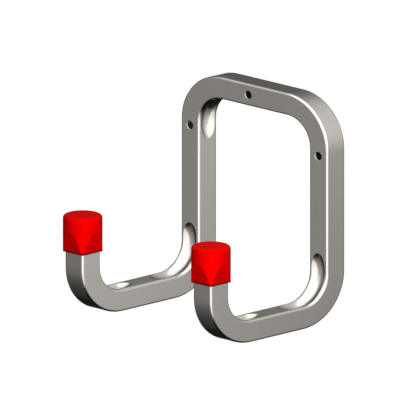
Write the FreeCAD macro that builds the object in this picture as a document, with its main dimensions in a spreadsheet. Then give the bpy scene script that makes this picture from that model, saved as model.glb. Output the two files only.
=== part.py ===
"""Double hook: one bent square steel tube with a soft cap pushed on each tip.

The tube starts at the left tip, bends back along the left arm, bends up the
left leg, crosses the top and comes down the other side to the right tip.
Frame: X to the right, Y into the wall, Z up, in millimetres. The origin lies
on the wall plane, midway between the two leg screw holes.
"""
import FreeCAD
import Part
import Sketcher
import math
import os

SIZES = {
    # The square tube
    "tube_width": 20.0,
    "tube_wall": 1.5,
    "corner_radius": 2.0,
    "bend_radius": 35.0,
    # The bent frame, measured over the outside of the tube
    "frame_width": 161.5,
    "frame_height": 200.0,
    "frame_depth": 148.0,
    "tip_height": 89.4,
    # The screw holes, right through the tube
    "screw_hole": 8.0,
    "leg_hole_height": 150.0,
    "top_hole_offset": 6.5,
    # The dimple that the bending tool presses into the inside of each bend
    "dimple_depth": 3.5,
    "dimple_radius": 8.5,
    "dimple_reach": 17.0,
    # The caps
    "cap_diameter": 31.0,
    "cap_top": 3.4,
    "cap_grip": 30.0,
    "cap_wall": 1.1,
    "cap_clearance": 0.1,
    "cap_edge_radius": 3.0,
    "cap_flat_height": 20.0,
}

# Places and sizes worked out from the sheet, as expressions on it
HALF_TUBE = "(sizes.tube_width / 2)"
LEG_X = "((sizes.frame_width - sizes.tube_width) / 2)"
LEG_Y = HALF_TUBE
TIP_Y = f"(sizes.frame_depth - {HALF_TUBE})"
BASE_Z = "(-sizes.leg_hole_height)"
ARM_Z = f"({BASE_Z} + {HALF_TUBE})"
TIP_Z = f"({BASE_Z} + sizes.tip_height)"
TOP_BAR_Z = f"({BASE_Z} + sizes.frame_height - {HALF_TUBE})"
LOW_BEND_Z = f"({ARM_Z} + sizes.bend_radius)"
HIGH_BEND_Z = f"({TOP_BAR_Z} - sizes.bend_radius)"

# A dimple is part of a ring about a point just behind the centre of its bend,
# so it is deepest in mid-bend and runs out on the straight walls past it
INNER_BEND = f"(sizes.bend_radius - {HALF_TUBE})"
DIMPLE_SHIFT = (
    f"((sizes.dimple_reach ^ 2 - sizes.dimple_depth ^ 2 - 2 * {INNER_BEND} * sizes.dimple_depth)"
    " / (2 * (sizes.dimple_reach + sqrt(2) * sizes.dimple_depth"
    f" + (sqrt(2) - 1) * {INNER_BEND})))"
)
RING_RADIUS = (
    f"({INNER_BEND} + sizes.dimple_depth + sqrt(2) * {DIMPLE_SHIFT} - sizes.dimple_radius)"
)

# The dimple stands one wall into the hollow, as a flat bottom and two flanks
# at 45 degrees that all touch a circle one wall larger than the dimple's own
TROUGH_REACH = "(sizes.dimple_radius + sizes.tube_wall)"
TROUGH_RADIUS = f"({RING_RADIUS} + {TROUGH_REACH})"
TROUGH_FLAT = f"(2 * (sqrt(2) - 1) * {TROUGH_REACH})"
TROUGH_MOUTH = f"(2 * sqrt(2) * {TROUGH_REACH})"

# The cap's socket and the square that its four flats end on at the foot
SOCKET_WIDTH = "(sizes.tube_width + 2 * sizes.cap_clearance)"
SOCKET_CORNER = "(sizes.corner_radius + sizes.cap_clearance)"
FOOT_HALF = f"({SOCKET_WIDTH} / 2 + sizes.cap_wall)"
CAP_RADIUS = "(sizes.cap_diameter / 2)"
CAP_HEIGHT = "(sizes.cap_grip + sizes.cap_top)"

# The sketcher's numbers for the parts of a curve and for a sketch's own axes
START, END, CENTRE = range(1, 4)
HORIZONTAL_AXIS, VERTICAL_AXIS = range(-1, -3, -1)
ORIGIN = (HORIZONTAL_AXIS, START)

doc = FreeCAD.newDocument("double_hook")
sheet = doc.addObject("Spreadsheet::Sheet", "sizes")
for row, (alias, size) in enumerate(SIZES.items(), start=1):
    sheet.set(f"A{row}", alias)
    sheet.set(f"B{row}", str(size))
    sheet.setAlias(f"B{row}", alias)
doc.recompute()


def value(expression):
    """The number that an expression on the sheet gives now."""
    return float(sheet.evalExpression(expression))


def origin_feature(body, role):
    """The body's own origin plane or axis that has this role."""
    for feature in body.Origin.OriginFeatures:
        if feature.Role == role:
            return feature
    raise ValueError(role)


def new_sketch(body, name, role, x="0", y="0", z="0"):
    """An empty sketch on one of the body's origin planes, set off from it."""
    sketch = body.newObject("Sketcher::SketchObject", name)
    sketch.AttachmentSupport = [(origin_feature(body, role), "")]
    sketch.MapMode = "FlatFace"
    for axis, expression in zip("xyz", (x, y, z)):
        sketch.setExpression(f"AttachmentOffset.Base.{axis}", expression)
    sketch.Visibility = False
    return sketch


def rule(sketch, kind, *where):
    """Add a rule to a sketch, such as Vertical or Equal."""
    sketch.addConstraint(Sketcher.Constraint(kind, *where))


def measure(sketch, kind, *where, size):
    """Add a dimension to a sketch and tie it to the sheet."""
    index = sketch.addConstraint(Sketcher.Constraint(kind, *where, value(size)))
    sketch.setExpression(f"Constraints[{index}]", size)


def add_line(sketch, start, end):
    """A line between two (x, y) points."""
    line = Part.LineSegment(FreeCAD.Vector(*start, 0), FreeCAD.Vector(*end, 0))
    return sketch.addGeometry(line, False)


def add_circle(sketch, centre, radius):
    """A circle about an (x, y) point."""
    circle = Part.Circle(FreeCAD.Vector(*centre, 0), FreeCAD.Vector(0, 0, 1), radius)
    return sketch.addGeometry(circle, False)


def add_arc(sketch, centre, radius, first):
    """A quarter circle that runs anticlockwise from an angle in degrees."""
    circle = Part.Circle(FreeCAD.Vector(*centre, 0), FreeCAD.Vector(0, 0, 1), radius)
    arc = Part.ArcOfCircle(circle, math.radians(first), math.radians(first + 90))
    return sketch.addGeometry(arc, False)


def closed_outline(sketch, corners):
    """Lines through a round of (x, y) corners, joined end to end."""
    following = corners[1:] + corners[:1]
    lines = [add_line(sketch, start, end) for start, end in zip(corners, following)]
    for line, follower in zip(lines, lines[1:] + lines[:1]):
        rule(sketch, "Coincident", line, END, follower, START)
    return lines


def rounded_square(sketch, width, radius):
    """A square with round corners about the sketch's origin."""
    side = value(width) / 2
    round_off = value(radius)
    flat = side - round_off
    bottom = add_line(sketch, (-flat, -side), (flat, -side))
    right = add_line(sketch, (side, -flat), (side, flat))
    top = add_line(sketch, (flat, side), (-flat, side))
    left = add_line(sketch, (-side, flat), (-side, -flat))
    sides = (bottom, right, top, left)
    corners = (
        add_arc(sketch, (flat, -flat), round_off, 270),
        add_arc(sketch, (flat, flat), round_off, 0),
        add_arc(sketch, (-flat, flat), round_off, 90),
        add_arc(sketch, (-flat, -flat), round_off, 180),
    )
    for side_before, corner, side_after in zip(sides, corners, sides[1:] + sides[:1]):
        rule(sketch, "Tangent", side_before, END, corner, START)
        rule(sketch, "Tangent", corner, END, side_after, START)
    for line in (bottom, top):
        rule(sketch, "Horizontal", line)
    for line in (right, left):
        rule(sketch, "Vertical", line)
    for corner in corners[1:]:
        rule(sketch, "Equal", corners[0], corner)
    rule(sketch, "Symmetric", corners[0], CENTRE, corners[2], CENTRE, *ORIGIN)
    measure(sketch, "Radius", corners[0], size=radius)
    measure(sketch, "DistanceX", left, START, right, START, size=width)
    measure(sketch, "DistanceY", bottom, START, top, START, size=width)


def plain_square(sketch, width):
    """A square with sharp corners about the sketch's origin."""
    side = value(width) / 2
    corners = [(-side, -side), (side, -side), (side, side), (-side, side)]
    bottom, right, top, left = closed_outline(sketch, corners)
    for line in (bottom, top):
        rule(sketch, "Horizontal", line)
    for line in (right, left):
        rule(sketch, "Vertical", line)
    rule(sketch, "Symmetric", bottom, START, top, START, *ORIGIN)
    measure(sketch, "DistanceX", bottom, START, bottom, END, size=width)
    measure(sketch, "DistanceY", right, START, right, END, size=width)


def hook_path(sketch, tip_end):
    """Tip, bend, arm, bend: the middle of the tube as seen from the side."""
    tip_y = -value(TIP_Y)
    leg_y = -value(LEG_Y)
    arm_z = value(ARM_Z)
    bend_z = value(LOW_BEND_Z)
    bend = value("sizes.bend_radius")
    tip = add_line(sketch, (tip_y, value(tip_end)), (tip_y, bend_z))
    front_bend = add_arc(sketch, (tip_y + bend, bend_z), bend, 180)
    arm = add_line(sketch, (tip_y + bend, arm_z), (leg_y - bend, arm_z))
    rear_bend = add_arc(sketch, (leg_y - bend, bend_z), bend, 270)
    rule(sketch, "Tangent", tip, END, front_bend, START)
    rule(sketch, "Tangent", front_bend, END, arm, START)
    rule(sketch, "Tangent", arm, END, rear_bend, START)
    rule(sketch, "Vertical", tip)
    rule(sketch, "Horizontal", arm)
    rule(sketch, "Horizontal", rear_bend, CENTRE, rear_bend, END)
    rule(sketch, "Equal", front_bend, rear_bend)
    measure(sketch, "Radius", front_bend, size="sizes.bend_radius")
    measure(sketch, "DistanceX", *ORIGIN, tip, START, size=f"-{TIP_Y}")
    measure(sketch, "DistanceX", *ORIGIN, rear_bend, END, size=f"-{LEG_Y}")
    measure(sketch, "DistanceY", *ORIGIN, arm, START, size=ARM_Z)
    measure(sketch, "DistanceY", *ORIGIN, tip, START, size=tip_end)


def arch_path(sketch):
    """Leg, bend and half the top bar: the middle of the tube from the front."""
    leg_x = -value(LEG_X)
    bend_z = value(HIGH_BEND_Z)
    top_z = value(TOP_BAR_Z)
    bend = value("sizes.bend_radius")
    leg = add_line(sketch, (leg_x, value(LOW_BEND_Z)), (leg_x, bend_z))
    top_bend = add_arc(sketch, (leg_x + bend, bend_z), bend, 90)
    top_bar = add_line(sketch, (leg_x + bend, top_z), (0, top_z))
    rule(sketch, "Tangent", leg, END, top_bend, END)
    rule(sketch, "Tangent", top_bend, START, top_bar, START)
    rule(sketch, "Vertical", leg)
    rule(sketch, "Horizontal", top_bar)
    rule(sketch, "PointOnObject", top_bar, END, VERTICAL_AXIS)
    measure(sketch, "Radius", top_bend, size="sizes.bend_radius")
    measure(sketch, "DistanceX", *ORIGIN, leg, START, size=f"-{LEG_X}")
    measure(sketch, "DistanceY", *ORIGIN, leg, START, size=LOW_BEND_Z)
    measure(sketch, "DistanceY", *ORIGIN, top_bar, START, size=TOP_BAR_Z)


def pipe(body, name, profile, path):
    """Sweep a profile along a path that turns in one plane."""
    feature = body.newObject("PartDesign::AdditivePipe", name)
    feature.Profile = profile
    feature.Spine = path
    doc.recompute()
    return feature


def scoop(sketch, side):
    """The round section of the ring that presses the dimples outside."""
    centre_y = f"{side} * {RING_RADIUS}"
    ring = add_circle(sketch, (0, value(centre_y)), value("sizes.dimple_radius"))
    rule(sketch, "PointOnObject", ring, CENTRE, VERTICAL_AXIS)
    measure(sketch, "DistanceY", *ORIGIN, ring, CENTRE, size=centre_y)
    measure(sketch, "Radius", ring, size="sizes.dimple_radius")


def trough(sketch, side):
    """The same section for the hollow: a flat and two flanks, one wall away."""
    mouth_y = f"{side} * {RING_RADIUS}"
    flat_y = f"{side} * {TROUGH_RADIUS}"
    half_mouth = value(TROUGH_MOUTH) / 2
    half_flat = value(TROUGH_FLAT) / 2
    corners = [
        (-half_mouth, value(mouth_y)),
        (half_mouth, value(mouth_y)),
        (half_flat, value(flat_y)),
        (-half_flat, value(flat_y)),
    ]
    mouth, _, flat, _ = closed_outline(sketch, corners)
    for line in (mouth, flat):
        rule(sketch, "Symmetric", line, START, line, END, VERTICAL_AXIS)
    measure(sketch, "DistanceX", mouth, START, mouth, END, size=TROUGH_MOUTH)
    measure(sketch, "DistanceX", flat, END, flat, START, size=TROUGH_FLAT)
    measure(sketch, "DistanceY", *ORIGIN, mouth, START, size=mouth_y)
    measure(sketch, "DistanceY", *ORIGIN, flat, START, size=flat_y)


def dimple(body, name, role, centre, draw_section, side):
    """Press a ring groove into the inside of a bend.

    The ring turns about the sketch's horizontal axis, and its section is drawn
    on the side away from the bend.
    """
    profile = new_sketch(body, f"{name}_profile", role, *centre)
    draw_section(profile, side)
    groove = body.newObject("PartDesign::Groove", name)
    groove.Profile = profile
    groove.ReferenceAxis = (profile, ["H_Axis"])
    groove.Angle = 360
    doc.recompute()
    return groove


def bent_bar(name, draw_bar, tip_end, draw_dimple):
    """The bent length as a solid bar: the left half is swept, then mirrored."""
    body = doc.addObject("PartDesign::Body", name)

    tip_profile = new_sketch(
        body, f"{name}_tip_profile", "XY_Plane", f"-{LEG_X}", f"-{TIP_Y}", tip_end
    )
    draw_bar(tip_profile)
    side_path = new_sketch(body, f"{name}_side_path", "YZ_Plane", z=f"-{LEG_X}")
    hook_path(side_path, tip_end)
    hook = pipe(body, f"{name}_hook", tip_profile, side_path)

    leg_profile = new_sketch(
        body, f"{name}_leg_profile", "XY_Plane", f"-{LEG_X}", f"-{LEG_Y}", LOW_BEND_Z
    )
    draw_bar(leg_profile)
    front_path = new_sketch(body, f"{name}_front_path", "XZ_Plane", z=LEG_Y)
    arch_path(front_path)
    arch = pipe(body, f"{name}_arch", leg_profile, front_path)

    low_z = f"{LOW_BEND_Z} + {DIMPLE_SHIFT}"
    front = (f"-{LEG_X}", f"-{TIP_Y} + sizes.bend_radius + {DIMPLE_SHIFT}", low_z)
    rear = (f"-{LEG_X}", f"-{LEG_Y} - sizes.bend_radius - {DIMPLE_SHIFT}", low_z)
    top = (
        f"-{LEG_Y}",
        f"{HIGH_BEND_Z} - {DIMPLE_SHIFT}",
        f"-{LEG_X} + sizes.bend_radius + {DIMPLE_SHIFT}",
    )
    dimples = [
        dimple(body, f"{name}_front_dimple", "XY_Plane", front, draw_dimple, 1),
        dimple(body, f"{name}_rear_dimple", "XY_Plane", rear, draw_dimple, -1),
        dimple(body, f"{name}_top_dimple", "YZ_Plane", top, draw_dimple, -1),
    ]

    mirror = body.newObject("PartDesign::Mirrored", f"{name}_mirror")
    mirror.Originals = [hook, arch, *dimples]
    mirror.MirrorPlane = (origin_feature(body, "YZ_Plane"), [""])
    body.Tip = mirror
    doc.recompute()
    return body


def drill(body):
    """The three screw holes, from the wall plane out through the tube."""
    holes = new_sketch(body, "screw_holes", "XZ_Plane")
    leg_x = value(LEG_X)
    radius = value("sizes.screw_hole / 2")
    left = add_circle(holes, (-leg_x, 0), radius)
    right = add_circle(holes, (leg_x, 0), radius)
    top = add_circle(holes, (-value("sizes.top_hole_offset"), value(TOP_BAR_Z)), radius)
    rule(holes, "PointOnObject", left, CENTRE, HORIZONTAL_AXIS)
    rule(holes, "Symmetric", left, CENTRE, right, CENTRE, *ORIGIN)
    rule(holes, "Equal", left, right)
    rule(holes, "Equal", left, top)
    measure(holes, "DistanceX", left, CENTRE, *ORIGIN, size=LEG_X)
    measure(holes, "DistanceX", top, CENTRE, *ORIGIN, size="sizes.top_hole_offset")
    measure(holes, "DistanceY", *ORIGIN, top, CENTRE, size=TOP_BAR_Z)
    measure(holes, "Diameter", left, size="sizes.screw_hole")
    pocket = body.newObject("PartDesign::Pocket", "drilled_holes")
    pocket.Profile = holes
    pocket.Reversed = True
    pocket.setExpression("Length", "sizes.tube_width")
    doc.recompute()


def outside_section(sketch):
    """The tube's outline across its length."""
    rounded_square(sketch, "sizes.tube_width", "sizes.corner_radius")


def hollow_section(sketch):
    """The outline of the space inside the tube."""
    plain_square(sketch, "(sizes.tube_width - 2 * sizes.tube_wall)")


def bent_tube():
    """The whole steel tube: the bent bar, drilled, less its hollow."""
    outside = bent_bar("outside", outside_section, TIP_Z, scoop)
    drill(outside)
    hollow = bent_bar("hollow", hollow_section, f"({TIP_Z} + sizes.tube_wall)", trough)
    tube = doc.addObject("Part::Cut", "bent_tube")
    tube.Base = outside
    tube.Tool = hollow
    return tube


def cap(name, side):
    """A cap: a round head that four leaning flats turn into a square foot."""
    body = doc.addObject("PartDesign::Body", name)

    outline = new_sketch(body, f"{name}_outline", "XY_Plane")
    rim = add_circle(outline, (0, 0), value(CAP_RADIUS))
    rule(outline, "Coincident", rim, CENTRE, *ORIGIN)
    measure(outline, "Diameter", rim, size="sizes.cap_diameter")
    head = body.newObject("PartDesign::Pad", f"{name}_head")
    head.Profile = outline
    head.setExpression("Length", CAP_HEIGHT)
    doc.recompute()

    edge = body.newObject("PartDesign::Fillet", f"{name}_top_edge")
    edge.Base = (head, [top_edge(head)])
    edge.setExpression("Radius", "sizes.cap_edge_radius")
    doc.recompute()

    # The wedge is twice as tall as the flat, so its point stays off the cap
    wedge = new_sketch(body, f"{name}_wedge", "XZ_Plane")
    foot = value(FOOT_HALF)
    far = foot + 2 * (value(CAP_RADIUS) - foot)
    height = 2 * value("sizes.cap_flat_height")
    slope, back, floor = closed_outline(wedge, [(foot, 0), (far, height), (far, 0)])
    rule(wedge, "Vertical", back)
    rule(wedge, "PointOnObject", slope, START, HORIZONTAL_AXIS)
    rule(wedge, "PointOnObject", back, END, HORIZONTAL_AXIS)
    measure(wedge, "DistanceX", *ORIGIN, slope, START, size=FOOT_HALF)
    measure(wedge, "DistanceX", floor, END, floor, START, size=f"2 * ({CAP_RADIUS} - {FOOT_HALF})")
    measure(wedge, "DistanceY", back, END, back, START, size="2 * sizes.cap_flat_height")
    flat = body.newObject("PartDesign::Pocket", f"{name}_flat")
    flat.Profile = wedge
    flat.Midplane = True
    flat.setExpression("Length", "2 * sizes.cap_diameter")
    doc.recompute()
    # One flat stands over each side of the square tube
    square_sides = 4
    flats = body.newObject("PartDesign::PolarPattern", f"{name}_flats")
    flats.Originals = [flat]
    flats.Axis = (origin_feature(body, "Z_Axis"), [""])
    flats.Angle = 360
    flats.Occurrences = square_sides
    body.Tip = flats
    doc.recompute()

    mouth = new_sketch(body, f"{name}_mouth", "XY_Plane")
    rounded_square(mouth, SOCKET_WIDTH, SOCKET_CORNER)
    socket = body.newObject("PartDesign::Pocket", f"{name}_socket")
    socket.Profile = mouth
    socket.Reversed = True
    socket.setExpression("Length", "sizes.cap_grip")
    doc.recompute()

    body.setExpression("Placement.Base.x", f"{side} * {LEG_X}")
    body.setExpression("Placement.Base.y", f"-{TIP_Y}")
    body.setExpression("Placement.Base.z", f"{TIP_Z} - sizes.cap_grip")
    return body


def top_edge(feature):
    """The name of the highest edge that isn't a seam."""
    shape = feature.Shape
    heights = [edge.BoundBox.ZMin for edge in shape.Edges]
    return f"Edge{heights.index(max(heights)) + 1}"


def check(piece):
    """Stop unless a finished piece is one valid solid."""
    shape = piece.Shape
    if shape.isNull() or not shape.isValid() or len(shape.Solids) != 1:
        raise RuntimeError(f"{piece.Label} is not one valid solid")


tube = bent_tube()
caps = [cap("left_cap", -1), cap("right_cap", 1)]
doc.recompute()

for thing in doc.Objects:
    if {"Invalid", "Error"} & set(thing.State):
        raise RuntimeError(f"{thing.Name} failed: {thing.State}")

os.makedirs("parts", exist_ok=True)
for piece in [tube, *caps]:
    check(piece)
    piece.Shape.exportStep(f"parts/{piece.Label}.step")
    print(piece.Label, piece.Shape.isValid(), len(piece.Shape.Solids), round(piece.Shape.Volume, 1),
          piece.Shape.BoundBox)
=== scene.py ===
"""Double hook: satin steel tube and red vinyl caps in a plain white studio."""

import math

import bpy
from mathutils import Matrix, Vector

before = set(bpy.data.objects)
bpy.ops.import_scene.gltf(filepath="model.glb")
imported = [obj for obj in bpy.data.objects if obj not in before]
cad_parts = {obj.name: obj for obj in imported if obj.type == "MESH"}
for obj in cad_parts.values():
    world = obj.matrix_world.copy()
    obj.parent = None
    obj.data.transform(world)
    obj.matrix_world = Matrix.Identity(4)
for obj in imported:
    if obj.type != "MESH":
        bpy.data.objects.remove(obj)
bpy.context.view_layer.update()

# The camera stands off to the right and a little above, far away, and its
# picture is squeezed a little in height. Angles are in degrees and lengths in
# metres
AZIMUTH = 45.04
ELEVATION = 15.68
SQUEEZE = 0.8948
PICTURE_WIDTH = 0.3615
LOOK_AT = Vector((-0.00025, -0.0709, -0.0505))
CAMERA_DISTANCE = 1.5

# The floor is a disc far below the object
FLOOR_DEPTH = 1.0
FLOOR_RADIUS = 0.4
FLOOR_SIDES = 96
FLOOR_COLOUR = (0.85, 0.85, 0.84, 1.0)
FLOOR_ROUGHNESS = 0.9
FLOOR_GLOSS = 0.1

# The key lamp: the azimuth and elevation of its place, its distance, its
# width and height, and its level
KEY_LAMP = (54, 28, 1.5, 0.7, 0.7, 14.5)
# The level of the world for matt surfaces
AMBIENT = 0.1
# The level of the sky between the soft lights
SKY_LEVEL = 0.02
WHITE = (1.0, 1.0, 1.0, 1.0)
# The soft lights that shiny things see: the azimuth and elevation of the
# middle, the angles where the light starts to fade and ends, and its level
SOFT_LIGHTS = {
    "right": (86, 44, 7, 117, 1.9),
    "left": (3, 31, 21, 105, 1.19),
    "high": (12, 67, 46, 49, 1.39),
    "low": (45, 1, 39, 42, 1.75),
    "far right": (93, 27, 29, 31, 0.95),
    "far left": (-15, 32, 26, 34, 0.84),
    "back": (-126, 20, 3, 24, 0.19),
    "under": (-70, -48, 2, 25, 0.1),
}
# No soft light comes from steeply below: how far up a direction points where
# the lights are gone and where they are full
DARK_BELOW = (-0.8, -0.7)

# The white backdrop low down on the far side, given as a light of level 1
BACKDROP = (-135, -20.3, 5.3, 7, 1.0)
# It goes on as a band just under the horizon: how squarely a direction points
# to that side where the band starts and where it is full, and how far up it
# points where the band starts, is full, starts to fade and is gone
BAND_SPREAD = (0.3, 0.6)
BAND_FOOT = (-0.12, -0.07)
BAND_TOP = (-0.045, 0.0)
# The level of the backdrop: a touch over plain white, so that the rim of the
# picture is white too
BACKDROP_LEVEL = 1.04

# The screw holes, as the places where their axes cross the plane of the wall,
# and the width over which the bare metal of their walls ends
LEG_HOLE_X = 0.07075
TOP_HOLE = (-0.0065, 0.04)
HOLE_RADIUS = 0.004
BARE_FADE = 0.0003
# The height of the caps' foot, and where above it the painted shade at the foot fades out
CAP_FOOT = -0.0906
FOOT_SHADE_FADE = (0.0007, 0.0022)

# The steel: the two colours of its clouds, the painted shade of the places that lie covered, as in
# its hollow, and the colour and shine of the bare holes
STEEL_COLOURS = ((0.293, 0.276, 0.257, 1.0), (0.318, 0.3, 0.28, 1.0))
HOLLOW_PAINTED_SHADE = (0.002, 0.002, 0.002, 1.0)
BARE_COLOUR = (0.5, 0.48, 0.46, 1.0)
BARE_METALLIC = 0.2
STEEL_ROUGHNESS = (0.16, 0.19)
# How much the grain adds to the roughness
GRAIN_ROUGHNESS = (-0.01, 0.01)
# How far off a surface still covers a spot, the rays that look for it, and how open a spot is where
# it has none and all of its own colour, the rest being painted shade
COVER_REACH = 0.02
COVER_SAMPLES = 8
COVER_FADE = (0.3, 0.85)
# How open a spot is where it has none and all of its shine, as the painted shade takes the shine away
# too
SHINE_FADE = (0.0, 0.2)
# How the light falls off along the sides of the steel: the way that a side
# faces, the level of its light at the origin and the rise per metre
SIDE_LIGHT = [
    ((1, 0, 0), 1.163, (-1.88, -1.33, 1.41)),
    ((0, -1, 0), 1.02, (0.28, 2.08, 0)),
    ((0, 0, 1), 1.19, (0, 0, -5.8)),
]
# How squarely a face looks that way where it counts as no part of the side
# and as a full part of it
SIDE_FADE = (0.85, 0.98)

# The vinyl: the two colours of its clouds, the painted shade along the bottom of its foot, and the
# levels and tint of its sheen
VINYL_COLOURS = ((0.78, 0.0, 0.0, 1.0), (0.84, 0.0, 0.0, 1.0))
FOOT_PAINTED_SHADE = (0.14, 0.0, 0.0, 1.0)
VINYL_METALLIC = 0.1
VINYL_GLOSS = 0.02
VINYL_TINT = (1.0, 0.0, 0.0, 1.0)
VINYL_ROUGHNESS = (0.42, 0.5)

# The scales of the clouds, the patches and the grain, how many octaves each
# kind has, the middle part of them that is used, and how far the grain stands
# up on the steel and on the vinyl
STEEL_CLOUD = 18.0
STEEL_PATCH = 45.0
STEEL_GRAIN = 900.0
VINYL_CLOUD = 60.0
VINYL_GRAIN = 1400.0
CLOUD_DETAIL = 2.0
GRAIN_DETAIL = 3.0
NOISE_BAND = (0.3, 0.7)
GRAIN_HEIGHT = 0.0002
STEEL_BUMP = 0.01
VINYL_BUMP = 0.05


def direction(azimuth, elevation):
    """Unit vector from the object towards a point of the compass, in degrees.

    Azimuth 0 is the front and 90 the object's right.
    """
    a = math.radians(azimuth)
    e = math.radians(elevation)
    return Vector((math.sin(a) * math.cos(e), -math.cos(a) * math.cos(e), math.sin(e)))


class Graph:
    """Short ways to add and join the nodes of a material or of the world."""

    def __init__(self, tree):
        self.tree = tree

    def add(self, kind, **inputs):
        """A node, with each input set or joined by its name."""
        node = self.tree.nodes.new(kind)
        for name, source in inputs.items():
            self.feed(node.inputs[name], source)
        return node

    def feed(self, socket, source):
        """Join an output to a socket, or set the socket to a number or colour."""
        if isinstance(source, bpy.types.NodeSocket):
            self.tree.links.new(source, socket)
        else:
            socket.default_value = source

    def math(self, operation, first, second=0.0):
        """One step of arithmetic."""
        node = self.tree.nodes.new("ShaderNodeMath")
        node.operation = operation
        self.feed(node.inputs[0], first)
        self.feed(node.inputs[1], second)
        return node.outputs[0]

    def remap(self, source, old, new=(0.0, 1.0)):
        """Smooth change from one range of numbers to another."""
        node = self.add("ShaderNodeMapRange", Value=source)
        node.interpolation_type = "SMOOTHSTEP"
        for name, end in zip(("From Min", "From Max", "To Min", "To Max"), (*old, *new)):
            node.inputs[name].default_value = end
        return node.outputs["Result"]

    def blend(self, factor, first, second):
        """Mix of two colours."""
        node = self.tree.nodes.new("ShaderNodeMix")
        node.data_type = "RGBA"
        self.feed(node.inputs["Factor"], factor)
        self.feed(node.inputs[6], first)
        self.feed(node.inputs[7], second)
        return node.outputs[2]

    def mix(self, factor, first, second):
        """Mix of two numbers."""
        node = self.tree.nodes.new("ShaderNodeMix")
        self.feed(node.inputs[0], factor)
        self.feed(node.inputs[2], first)
        self.feed(node.inputs[3], second)
        return node.outputs[0]

    def dot(self, vector, fixed):
        """How far a vector points along a fixed direction."""
        node = self.tree.nodes.new("ShaderNodeVectorMath")
        node.operation = "DOT_PRODUCT"
        self.feed(node.inputs[0], vector)
        node.inputs[1].default_value = fixed
        return node.outputs["Value"]

    def scale(self, colour, factor):
        """A colour made lighter or darker by a factor."""
        node = self.tree.nodes.new("ShaderNodeVectorMath")
        node.operation = "SCALE"
        self.feed(node.inputs[0], colour)
        self.feed(node.inputs["Scale"], factor)
        return node.outputs["Vector"]

    def disc(self, way, azimuth, elevation, inner, outer, level):
        """A level that is full near a point of the sky and fades between two angles."""
        towards = self.dot(way, direction(azimuth, elevation))
        fade = [math.cos(math.radians(angle)) for angle in (outer, inner)]
        return self.remap(towards, fade, (0.0, level))

    def away(self, first, second, point):
        """Distance of two coordinates from a fixed point of their plane."""
        across = self.math("SUBTRACT", first, point[0])
        along = self.math("SUBTRACT", second, point[1])
        squares = [self.math("MULTIPLY", side, side) for side in (across, along)]
        return self.math("SQRT", self.math("ADD", *squares))

    def noise(self, place, scale, detail):
        """Cloudy noise from 0 to 1."""
        return self.add("ShaderNodeTexNoise", Vector=place, Scale=scale, Detail=detail).outputs["Fac"]


def new_material(name):
    """An empty material with its graph and its shader."""
    material = bpy.data.materials.new(name)
    material.use_nodes = True
    graph = Graph(material.node_tree)
    shader = material.node_tree.nodes["Principled BSDF"]
    return material, graph, shader


def add_grain(graph, shader, grain, strength):
    """Let the grain stand up a little from the surface."""
    bump = graph.add("ShaderNodeBump", Strength=strength, Distance=GRAIN_HEIGHT, Height=grain)
    graph.feed(shader.inputs["Normal"], bump.outputs["Normal"])


def drilled(graph, place):
    """How far a spot belongs to the bare wall of a drilled hole, from 0 to 1."""
    spot = graph.add("ShaderNodeSeparateXYZ", Vector=place).outputs
    nearest = graph.away(spot["X"], spot["Z"], TOP_HOLE)
    for hole_x in (-LEG_HOLE_X, LEG_HOLE_X):
        nearest = graph.math("MINIMUM", nearest, graph.away(spot["X"], spot["Z"], (hole_x, 0.0)))
    return graph.remap(nearest, (HOLE_RADIUS, HOLE_RADIUS + BARE_FADE), (1.0, 0.0))


def side_light(graph, place):
    """How strongly a spot of the steel is lit, where 1 is the plain level."""
    facing = graph.add("ShaderNodeNewGeometry").outputs["Normal"]
    total = 1.0
    for side, level, rise in SIDE_LIGHT:
        share = graph.remap(graph.dot(facing, side), SIDE_FADE)
        extra = graph.math("ADD", graph.dot(place, rise), level - 1.0)
        total = graph.math("ADD", total, graph.math("MULTIPLY", share, extra))
    return total


def openness(graph):
    """How open a spot of the steel lies, from 0 deep in the hollow to 1."""
    cover = graph.add("ShaderNodeAmbientOcclusion", Distance=COVER_REACH)
    cover.samples = COVER_SAMPLES
    return graph.remap(cover.outputs["AO"], COVER_FADE)


def steel_material():
    """Satin steel with faint clouds and fine grain, bare where it is drilled, with painted shade
    where it lies covered.
    """
    material, graph, shader = new_material("tube_steel")
    place = graph.add("ShaderNodeTexCoord").outputs["Object"]
    open_share = openness(graph)
    bare = drilled(graph, place)

    base = graph.blend(graph.noise(place, STEEL_CLOUD, CLOUD_DETAIL), *STEEL_COLOURS)
    base = graph.scale(base, side_light(graph, place))
    # Painted shade: near black where the steel lies covered, deep in the hollow and close to other
    # parts
    base = graph.blend(open_share, HOLLOW_PAINTED_SHADE, base)
    base = graph.blend(bare, base, BARE_COLOUR)
    graph.feed(shader.inputs["Base Color"], base)

    metal = graph.remap(bare, (0.0, 1.0), (1.0, BARE_METALLIC))
    # Painted shade: the shine is taken away where the steel lies covered
    metal = graph.math("MULTIPLY", metal, graph.remap(open_share, SHINE_FADE))
    graph.feed(shader.inputs["Metallic"], metal)
    shader.inputs["Specular IOR Level"].default_value = 0.0

    grain = graph.noise(place, STEEL_GRAIN, GRAIN_DETAIL)
    patch = graph.noise(place, STEEL_PATCH, CLOUD_DETAIL)
    roughness = graph.math("ADD", graph.remap(patch, NOISE_BAND, STEEL_ROUGHNESS),
                           graph.remap(grain, NOISE_BAND, GRAIN_ROUGHNESS))
    graph.feed(shader.inputs["Roughness"], roughness)
    add_grain(graph, shader, grain, STEEL_BUMP)
    return material


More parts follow.
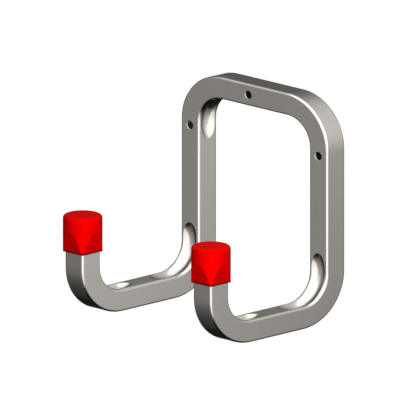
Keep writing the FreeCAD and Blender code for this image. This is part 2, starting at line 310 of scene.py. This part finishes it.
def vinyl_material():
    """Soft red vinyl with a low sheen, with painted shade along the bottom of its foot."""
    material, graph, shader = new_material("cap_vinyl")
    place = graph.add("ShaderNodeTexCoord").outputs["Object"]
    cloud = graph.noise(place, VINYL_CLOUD, CLOUD_DETAIL)

    height = graph.add("ShaderNodeSeparateXYZ", Vector=place).outputs["Z"]
    # Painted shade: dark red along the bottom of the foot, where the cap sits on the tube
    above_foot_shade = graph.remap(height, [CAP_FOOT + rise for rise in FOOT_SHADE_FADE])
    base = graph.blend(above_foot_shade, FOOT_PAINTED_SHADE, graph.blend(cloud, *VINYL_COLOURS))
    graph.feed(shader.inputs["Base Color"], base)

    shader.inputs["Metallic"].default_value = VINYL_METALLIC
    shader.inputs["Specular IOR Level"].default_value = VINYL_GLOSS
    shader.inputs["Specular Tint"].default_value = VINYL_TINT
    graph.feed(shader.inputs["Roughness"], graph.remap(cloud, NOISE_BAND, VINYL_ROUGHNESS))
    add_grain(graph, shader, graph.noise(place, VINYL_GRAIN, GRAIN_DETAIL), VINYL_BUMP)
    return material


def dress(piece, material):
    """Give a CAD piece its material."""
    piece.data.materials.clear()
    piece.data.materials.append(material)


def soft_glow(graph, way, rise):
    """The level of the soft lights, which fade with the angle from their middles."""
    glow = 0.0
    for light in SOFT_LIGHTS.values():
        glow = graph.math("ADD", glow, graph.disc(way, *light))
    glow = graph.math("MULTIPLY", glow, graph.remap(rise, DARK_BELOW))
    return graph.math("ADD", glow, SKY_LEVEL)


def white_backdrop(graph, way, rise):
    """The level of the backdrop low down on the far side."""
    backdrop = graph.disc(way, *BACKDROP)
    band = graph.remap(graph.dot(way, direction(BACKDROP[0], 0)), BAND_SPREAD)
    band = graph.math("MULTIPLY", band, graph.remap(rise, BAND_FOOT))
    band = graph.math("MULTIPLY", band, graph.remap(rise, BAND_TOP, (1.0, 0.0)))
    return graph.math("MULTIPLY", graph.math("MAXIMUM", backdrop, band), BACKDROP_LEVEL)


def studio_world():
    """What lights the object from all round.

    Shiny things see the soft lights and a white backdrop low down on the far
    side, and it is dark steeply below. The camera sees the same, held down to
    the backdrop's white. Matt surfaces get an even low light, and the key lamp
    does the rest.
    """
    world = bpy.data.worlds.new("studio")
    world.use_nodes = True
    bpy.context.scene.world = world
    graph = Graph(world.node_tree)
    way = graph.add("ShaderNodeTexCoord").outputs["Generated"]
    rise = graph.add("ShaderNodeSeparateXYZ", Vector=way).outputs["Z"]

    shiny = graph.math("MAXIMUM", soft_glow(graph, way, rise), white_backdrop(graph, way, rise))
    seen = graph.math("MINIMUM", shiny, BACKDROP_LEVEL)
    ray = graph.add("ShaderNodeLightPath").outputs
    sharp = graph.math("MAXIMUM", ray["Is Glossy Ray"], ray["Is Transmission Ray"])
    level = graph.mix(sharp, AMBIENT, shiny)
    level = graph.mix(ray["Is Camera Ray"], level, seen)

    background = world.node_tree.nodes["Background"]
    background.inputs["Color"].default_value = WHITE
    graph.feed(background.inputs["Strength"], level)


def pale_floor():
    """A plain pale disc, well below the object, which the steel doesn't mirror."""
    bpy.ops.mesh.primitive_circle_add(
        vertices=FLOOR_SIDES, radius=FLOOR_RADIUS, fill_type="NGON",
        location=(LOOK_AT.x, LOOK_AT.y, LOOK_AT.z - FLOOR_DEPTH),
    )
    floor = bpy.context.object
    floor.name = "floor"
    material, _, shader = new_material("floor")
    shader.inputs["Base Color"].default_value = FLOOR_COLOUR
    shader.inputs["Roughness"].default_value = FLOOR_ROUGHNESS
    shader.inputs["Specular IOR Level"].default_value = FLOOR_GLOSS
    floor.data.materials.append(material)
    floor.visible_glossy = False


def softbox(name, azimuth, elevation, distance, width, height, level):
    """A rectangular lamp that faces the object and shines at a level of its own."""
    light = bpy.data.lights.new(name, "AREA")
    light.shape = "RECTANGLE"
    light.size = width
    light.size_y = height
    light.energy = level * math.pi * width * height
    lamp = bpy.data.objects.new(name, light)
    way = direction(azimuth, elevation)
    lamp.location = LOOK_AT + way * distance
    lamp.rotation_mode = "QUATERNION"
    lamp.rotation_quaternion = way.to_track_quat("Z", "Y")
    bpy.context.collection.objects.link(lamp)


def product_camera():
    """A distant camera without perspective, whose picture is squeezed in height.

    The frame that holds the camera is skewed: one side leans back, which
    narrows what the camera sees across and so squeezes it in height.
    """
    camera = bpy.data.objects.new("camera", bpy.data.cameras.new("camera"))
    camera.data.type = "ORTHO"
    camera.data.ortho_scale = PICTURE_WIDTH
    holder = bpy.data.objects.new("camera_holder", None)
    for thing in (camera, holder):
        bpy.context.collection.objects.link(thing)

    back = direction(AZIMUTH, ELEVATION)
    right = direction(AZIMUTH + 90, 0)
    up = back.cross(right)
    base = Matrix((right, up, back)).transposed().to_4x4()
    base.translation = LOOK_AT + back * CAMERA_DISTANCE

    lean = math.acos(SQUEEZE)
    skew = Matrix.Identity(4)
    skew[0][0] = math.cos(lean)
    skew[2][0] = -math.sin(lean)
    camera.parent = holder
    camera.matrix_parent_inverse = base @ skew
    bpy.context.scene.camera = camera


steel = steel_material()
vinyl = vinyl_material()
dress(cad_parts["bent_tube"], steel)
for side in ("left", "right"):
    dress(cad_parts[f"{side}_cap"], vinyl)
# The steel mirrors the studio and not the object itself, which keeps its
# hollows clean
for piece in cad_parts.values():
    piece.visible_glossy = False

studio_world()
pale_floor()
softbox("key", *KEY_LAMP)
product_camera()
bpy.context.scene.view_settings.view_transform = "Standard"
